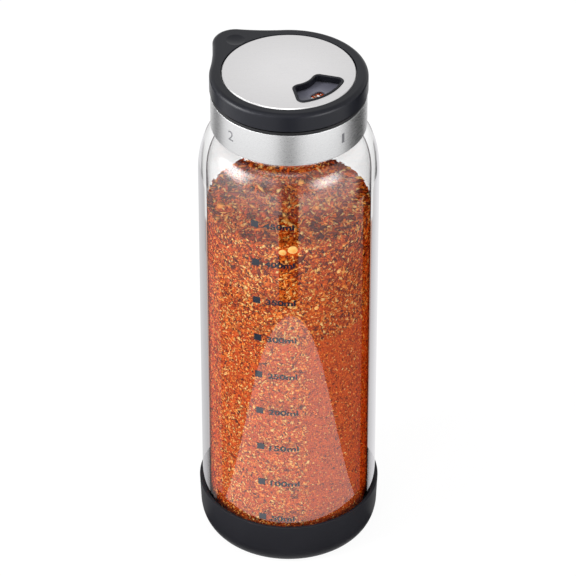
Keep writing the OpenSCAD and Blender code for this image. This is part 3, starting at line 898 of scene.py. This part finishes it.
def make_cap(material):
    cap = cap_body(material)
    overlap, nub_r, nub_reach, hole_depth = 0.5, 0.9, 0.25, 3.9
    collar = [(RECESS_Z - overlap, 0), (COLLAR_TOP - COLLAR_EASE, 0), (COLLAR_TOP, COLLAR_EASE)]
    boolean(cap, prism("collar", window_outline, collar, POUR_DIR), "UNION")
    boolean(cap, drum(BOSS_R, BOSS_Z, ROOF_Z + overlap, steps=64), "UNION")
    for click in CLICKS:
        middle = polar(CLICK_R + nub_r - nub_reach, click)
        boolean(cap, drum(nub_r, CAP_Z + overlap, ROOF_Z + overlap, middle, 32), "UNION")
    shaft = [(ROOF_Z - 1, COLLAR_WALL), (COLLAR_TOP - COLLAR_EASE, COLLAR_WALL),
             (COLLAR_TOP + PROUD, COLLAR_WALL - COLLAR_EASE)]
    boolean(cap, prism("cutter", window_outline, shaft, POUR_DIR))
    groove = straight(window_outline, -SEAL_W - SEAT_GAP, ROOF_Z - 1, ROOF_Z + SEAL_GROOVE, POUR_DIR)
    boolean(groove, straight(window_outline, -SEAT_GAP, ROOF_Z - 2, ROOF_Z + SEAL_GROOVE + 1, POUR_DIR))
    boolean(cap, groove)
    boolean(cap, drum(SCREW_R + RUN_GAP, BOSS_Z - 1, BOSS_Z + hole_depth, steps=48))
    place(finish_mesh(cap), "cap", "cap_plastic", "turn_cap")


def make_disc(material):
    bevel, cut_gap = 0.4, 0.14
    disc = turned("disc_plate", plate_profile(DISC_R, DISC_Z, CAP_TOP, bevel), material, 192)
    boolean(disc, straight(window_outline, -cut_gap, DISC_Z - 1, CAP_TOP + 1, POUR_DIR))
    place(finish_mesh(disc), "cap", "disc_steel", "cap_disc")


# ---- printed scale and numerals
def text_part(text, width, height, weight=0.0):
    """A short text, centred; its weight thickens the strokes."""
    curve = bpy.data.curves.new("text", "FONT")
    curve.body = text
    curve.extrude = 0.01
    curve.offset = weight
    slice_w = 0.1
    maker = add_object("text", curve)
    mesh = shown_mesh(maker)
    bpy.data.objects.remove(maker)
    work = bmesh.new()
    work.from_mesh(mesh)
    low, high = (np.array(f([v.co for v in work.verts], axis=0)) for f in (np.min, np.max))
    for x in np.arange(low[0], high[0], slice_w)[1:]:
        bmesh.ops.bisect_plane(work, geom=work.verts[:] + work.edges[:] + work.faces[:],
                               plane_co=(x, 0, 0), plane_no=(1, 0, 0))
    work.to_mesh(mesh)
    work.free()
    spots = np.array([v.co for v in mesh.vertices])
    faces = [tuple(face.vertices) for face in mesh.polygons]
    bpy.data.meshes.remove(mesh)
    return (spots - (low + high) / 2) / (high - low) * (width, height, 1.0), faces


def wrap(piece_points, radius, thickness, angle, z):
    """Lays flat points on a cylinder: x goes round it, y up it and z outwards."""
    turn = math.radians(angle) + piece_points[:, 0] / radius
    r = radius + (piece_points[:, 2] + 0.5) * thickness
    return np.stack([r * np.cos(turn), r * np.sin(turn), z + piece_points[:, 1]], 1)


def join_wrapped(name, parts, radius, thickness, material):
    """One piece from parts of (flat points and faces, angle, height), laid on a cylinder."""
    points, faces = [], []
    for (spots, part_faces), angle, z in parts:
        start = len(points)
        points += [tuple(p) for p in wrap(spots, radius, thickness, angle, z)]
        faces += [tuple(start + i for i in face) for face in part_faces]
    return finish_mesh(add_solid(name, points, faces, material), 30, False)


def square_part(size):
    """A filled square of print, in columns so that it follows the glass."""
    columns = 6
    xs = np.linspace(-size / 2, size / 2, columns + 1)
    spots = np.array([(x, y, n) for x in xs for y in (-size / 2, size / 2) for n in (-0.5, 0.5)])
    faces = [(0, 1, 3, 2), (4 * columns, 4 * columns + 2, 4 * columns + 3, 4 * columns + 1)]
    for i in range(columns):
        a, b = 4 * i, 4 * i + 4
        faces += [(a, b, b + 1, a + 1), (a + 2, a + 3, b + 3, b + 2),
                  (a, a + 2, b + 2, b), (a + 1, b + 1, b + 3, a + 3)]
    return spots, faces


def make_scale(material):
    """Plain volume scale: a square and a number at every 50 ml."""
    first_z, step, marks = 159.85, 17.12, 9
    square, square_angle, drift = 2.9, -109.8, 0.557
    text_start, text_drop = 3.4, 0.2
    text_h, glyph_w, weight = 2.5, 2.25, 0.035
    radius, thickness = GLASS_R + 0.005, 0.025
    parts = []
    for i in range(marks):
        z = first_z - step * i
        angle = square_angle + drift * i
        text = f"{50 * (marks - i)}ml"
        width = glyph_w * len(text)
        offset = math.degrees((text_start + width / 2) / radius)
        parts.append((square_part(square), angle, z))
        parts.append((text_part(text, width, text_h, weight), angle + offset, z - text_drop))
    place(join_wrapped("scale_print", parts, radius, thickness, material), "jar", "boot_rubber")


def make_numerals(material):
    """Etched numerals on the band: 1 at the pour place and 2 at the sprinkle place."""
    radius, thickness, height, z = BAND_R + 0.003, 0.015, 4.0, 190.5
    parts = [(text_part("1", 1.2, height), POUR_DIR, z), (text_part("2", 2.6, height), SPRINKLE_DIR, z)]
    place(join_wrapped("band_numerals", parts, radius, thickness, material), "lid", "black_plastic")


# ---- studio
WHITE = (1, 1, 1, 1)


def seen_rays(tree):
    """1 for camera, mirrored and transmitted rays, else 0."""
    path = add(tree, "LightPath").outputs
    seen = maths(tree, "MAXIMUM", path["Is Camera Ray"], path["Is Glossy Ray"])
    return maths(tree, "MAXIMUM", seen, path["Is Transmission Ray"])


def make_world(light_level):
    """White where it is seen or mirrored, and a plain soft level where it lights the jar."""
    world = bpy.data.worlds.new("studio")
    world.use_nodes = True
    tree = world.node_tree
    tree.nodes.clear()
    shader = add(tree, "Background", {
        "Color": WHITE, "Strength": remap(tree, seen_rays(tree), after=(light_level, 1.0))})
    add(tree, "OutputWorld", {"Surface": shader.outputs[0]})
    bpy.context.scene.world = world


def make_floor():
    """Pale floor that shows white where nothing shades it."""
    size, brightness, white_share = 9.0, 1.07, 0.86
    work = bmesh.new()
    bmesh.ops.create_grid(work, x_segments=4, y_segments=4, size=size)
    mesh = bpy.data.meshes.new("floor")
    work.to_mesh(mesh)
    work.free()
    material, tree = new_material("floor_paper")
    matt = add(tree, "BsdfDiffuse", {"Color": (0.85, 0.85, 0.85, 1)})
    white = add(tree, "Emission", {"Color": WHITE, "Strength": brightness})
    mixed_surface(tree, remap(tree, seen_rays(tree), after=(0.0, white_share)), matt, white)
    add_object("floor", mesh, material)


def card_material(name, radiance, soft):
    """Light of a card, even or from foot to middle to top; it fades out over the soft shares of its width
    and height."""
    material, tree = new_material(name)
    split = add(tree, "SeparateXYZ", {"Vector": add(tree, "TexCoord").outputs["UV"]})
    up = split.outputs["Y"]
    foot, middle, top = radiance if isinstance(radiance, tuple) else (radiance,) * 3
    bend = 0.33
    level = maths(tree, "ADD", remap(tree, up, (0.0, bend), (foot, middle)),
                  remap(tree, up, (bend, 1.0), (0.0, top - middle)))
    mask = 1.0
    for axis, share in zip(split.outputs[:2], soft):
        if share:
            away = maths(tree, "ABSOLUTE", maths(tree, "SUBTRACT", axis, 0.5))
            fade = remap(tree, away, (0.5 - share, 0.5), (1.0, 0.0), "SMOOTHSTEP")
            mask = maths(tree, "MULTIPLY", mask, fade)
    light = add(tree, "Emission", {"Color": WHITE, "Strength": level})
    mixed_surface(tree, mask, add(tree, "BsdfTransparent"), light)
    return material


def finish_card(card):
    """A card shows in mirrors alone and is no part of the jar."""
    for rays in ("camera", "diffuse", "transmission", "volume_scatter", "shadow"):
        setattr(card, f"visible_{rays}", False)


def strip_card(name, columns, spots, radiance, soft=(0, 0)):
    """Card between two rows of points, each one point longer than its columns."""
    row = columns + 1
    mesh = bpy.data.meshes.new(name)
    mesh.from_pydata([tuple(p * MM for p in spot) for spot in spots], [],
                     [(i, i + 1, row + i + 1, row + i) for i in range(columns)])
    layer = mesh.uv_layers.new(name="UVMap")
    for loop in mesh.loops:
        layer.data[loop.index].uv = (loop.vertex_index % row / columns, loop.vertex_index // row)
    finish_card(add_object(name, mesh, card_material(name, radiance, soft)))


def curved_card(name, rims, sides, radiance, soft=(0, 0)):
    """Card bent round the jar between two rims of (radius, height) and two angles from the front."""
    columns = 24
    spots = [(*polar(radius, FRONT + sides[0] + (sides[1] - sides[0]) * i / columns), z)
             for radius, z in rims for i in range(columns + 1)]
    strip_card(name, columns, spots, radiance, soft)


def oval_card(name, middle, radii, radiance):
    """Oval card lying in front of the jar; its middle is forward and sideways, and its radii are to the far,
    the near and the lateral side."""
    columns, height, hole = 48, 1.0, 0.01
    forward, sideways = directions(FRONT)
    centre = forward * middle[0] + sideways * middle[1]
    spots = []
    for share in (hole, 1.0):
        for i in range(columns + 1):
            a = TURN * i / columns
            depth = radii[0] if math.cos(a) > 0 else radii[1]
            spot = centre + (forward * depth * math.cos(a) + sideways * radii[2] * math.sin(a)) * share
            spots.append((spot.x, spot.y, height))
    strip_card(name, columns, spots, radiance)


def sheet_card(name, corners, radiance, height):
    """Flat card lying on the floor, with corners forward and sideways of the jar."""
    c, s = polar(1, FRONT)
    mesh = bpy.data.meshes.new(name)
    mesh.from_pydata([((f * c - w * s) * MM, (f * s + w * c) * MM, height * MM) for f, w in corners],
                     [], [tuple(range(len(corners)))])
    finish_card(add_object(name, mesh, card_material(name, radiance, (0, 0))))


# Corners, forward and sideways, of the dark floor that the jar's left side mirrors
LEFT_FLOOR = [(16, -31), (-160, -220), (-60, -320), (180, -260), (330, -60), (330, 0), (30, 0)]

# Sheets on the floor: name, corners, radiance and height
SHEETS = [
    ("left_dark_floor", LEFT_FLOOR, 0.24, 0.4),
    ("left_glow_floor", [(21.5, -25.7), (-31, -321), (-187, -254), (13.6, -30.6)], 0.62, 0.45),
    ("left_edge_floor", [(13, -31), (-195, -247), (-300, -34), (0, -34)], 0.8, 0.3),
    ("right_dark_floor", [(f, -s) for f, s in LEFT_FLOOR], 0.0, 0.5),
    ("right_mid_floor", [(19, 27.5), (-83, 309), (180, 260), (330, 60), (330, 0), (30, 0)], 0.22, 0.6)]

# Upright cards: name, radius, angles from the front, heights, radiance and soft shares
WALLS = [
    ("gap_card", 198, (-11.5, 11), (0.5, 57), 0.0, (0, 0)),
    ("band_gap_card", 198, (-9.5, 12.5), (57, 230), 0.18, (0.15, 0)),
    ("right_dark_card", 198, (76, 137), (46, 190), 0.0, (0.3, 0.05)),
    ("right_back_card", 196, (97, 140), (46, 190), 0.0, (0.12, 0.05)),
    ("left_back_card", 198, (-138, -103), (46, 190), 0.0, (0.25, 0.05)),
    ("left_panel", 200, (-128, -11.5), (0.5, 160), (0.4, 1.13, 2.3), (0, 0)),
    ("right_panel", 200, (11, 102), (0.5, 160), (0.22, 1.04, 2.4), (0, 0)),
    ("front_top_card", 600, (-80, 40), (820, 1500), 3.4, (0.3, 0.3)),
    ("left_veil_card", 410, (-62, -9), (170, 560), 3.0, (0.25, 0.4)),
    ("left_softbox", 400, (-106, -42), (110, 460), 17.0, (0.42, 0.42)),
    ("right_softbox", 400, (20, 75), (125, 385), 11.0, (0.42, 0.42))]


def make_cards():
    """What the glass and the steel mirror: a pool of light in front, a painted shadow ring round the foot,
    side panels, softboxes and dark gaps.
    """
    oval_card("pool_card", (104, 3), (88, 103, 96), 1.42)
    # Painted shadow: a near-black ring on the floor round the foot, seen only in mirrors, stands in for the
    # jar's shadow
    curved_card("shadow_ring_card", ((34, 1.2), (57, 1.2)), (-80, 80), 0.05)
    for sheet in SHEETS:
        sheet_card(*sheet)
    for name, radius, sides, (low, high), radiance, soft in WALLS:
        curved_card(name, ((radius, low), (radius, high)), sides, radiance, soft)


def make_lamp(name, side, height, distance, size, energy):
    """Area lamp aimed at the middle of the jar; side is its angle from the front."""
    data = bpy.data.lights.new(name, "AREA")
    data.shape = "DISK"
    data.size = size
    data.energy = energy
    lamp = add_object(name, data)
    lamp.location = (*polar(distance, FRONT + side), height)
    aim = Vector((0, 0, 0.1)) - lamp.location
    lamp.rotation_euler = aim.to_track_quat("-Z", "Y").to_euler()
    lamp.visible_glossy = False
    lamp.visible_camera = False


def make_camera():
    """Camera at the photograph's viewing angle."""
    distance, height = 1.2164, 1.0050
    pitch, aside = 36.41, 0.0143
    data = bpy.data.cameras.new("camera")
    data.sensor_width = 36
    data.lens = 250.6
    data.clip_start, data.clip_end = 0.05, 50
    camera = add_object("camera", data)
    camera.location = (*polar(distance, FRONT), height)
    camera.rotation_euler = (math.radians(90 - pitch), 0, math.radians(FRONT + 90 + aside))
    bpy.context.scene.camera = camera


def make_studio():
    make_world(0.56)
    make_floor()
    make_cards()
    make_lamp("key_lamp", -62, 0.85, 1.1, 0.5, 9.0)
    make_lamp("fill_lamp", 55, 0.75, 1.2, 0.6, 4.6)
    make_lamp("low_lamp", -26, 0.22, 1.1, 0.16, 3.6)
    make_camera()


# ---- CAD nodes that stay
def dress_nodes(materials):
    for node, material in materials.items():
        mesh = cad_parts[node].data
        mesh.materials.clear()
        mesh.materials.append(material)


def main():
    bpy.context.scene.view_settings.view_transform = "Standard"
    glass = glass_material()
    black = moulded_material("black_plastic", (0.008, 0.008, 0.009), 0.45, specular=0.25)
    silicone = moulded_material("gasket_silicone", (0.62, 0.62, 0.60), 0.5, specular=0.4)
    hardware = steel_material("plain_steel", (0.5, 0.5, 0.5), 0.3, 0.0, False)
    make_jar(glass)
    make_boot(moulded_material("boot_silicone", (0.015, 0.015, 0.019), 0.55, grain=4.0, specular=0.11))
    make_spice_bed(spice_material("spice_powder", False))
    chip = spice_material("spice_chip", True)
    make_chips(chip)
    make_seeds(chip)
    make_slot_flakes(chip)
    make_band(steel_material("band_steel", (0.60, 0.60, 0.605), 0.27, 0.8, True))
    make_sifter(moulded_material("sifter_plastic", (0.19, 0.19, 0.24), 0.3, grain=3.0, depth=0.004))
    place(helix_ridge("lid_thread", SKIRT_IN_R, -1, LID_THREAD, black), "lid", "black_plastic")
    make_cap(moulded_material("cap_plastic", (0.0066, 0.0072, 0.0112), 0.34, specular=0.2))
    # Its last figure is painted shade: the disc's colour darkens by a tenth towards the rim
    make_disc(steel_material("disc_steel", (0.73, 0.72, 0.725), 0.28, 0.0, False, 0.0006, 0.02, 0.1))
    make_scale(print_material())
    make_numerals(moulded_material("etched_steel", (0.12, 0.12, 0.13), 0.5))
    dress_nodes({
        "lid_core": black, "rim_gasket": silicone, "window_seal": silicone,
        "pivot_screw": hardware, "flat_washer": hardware, "wave_washer": hardware})
    make_studio()


main()
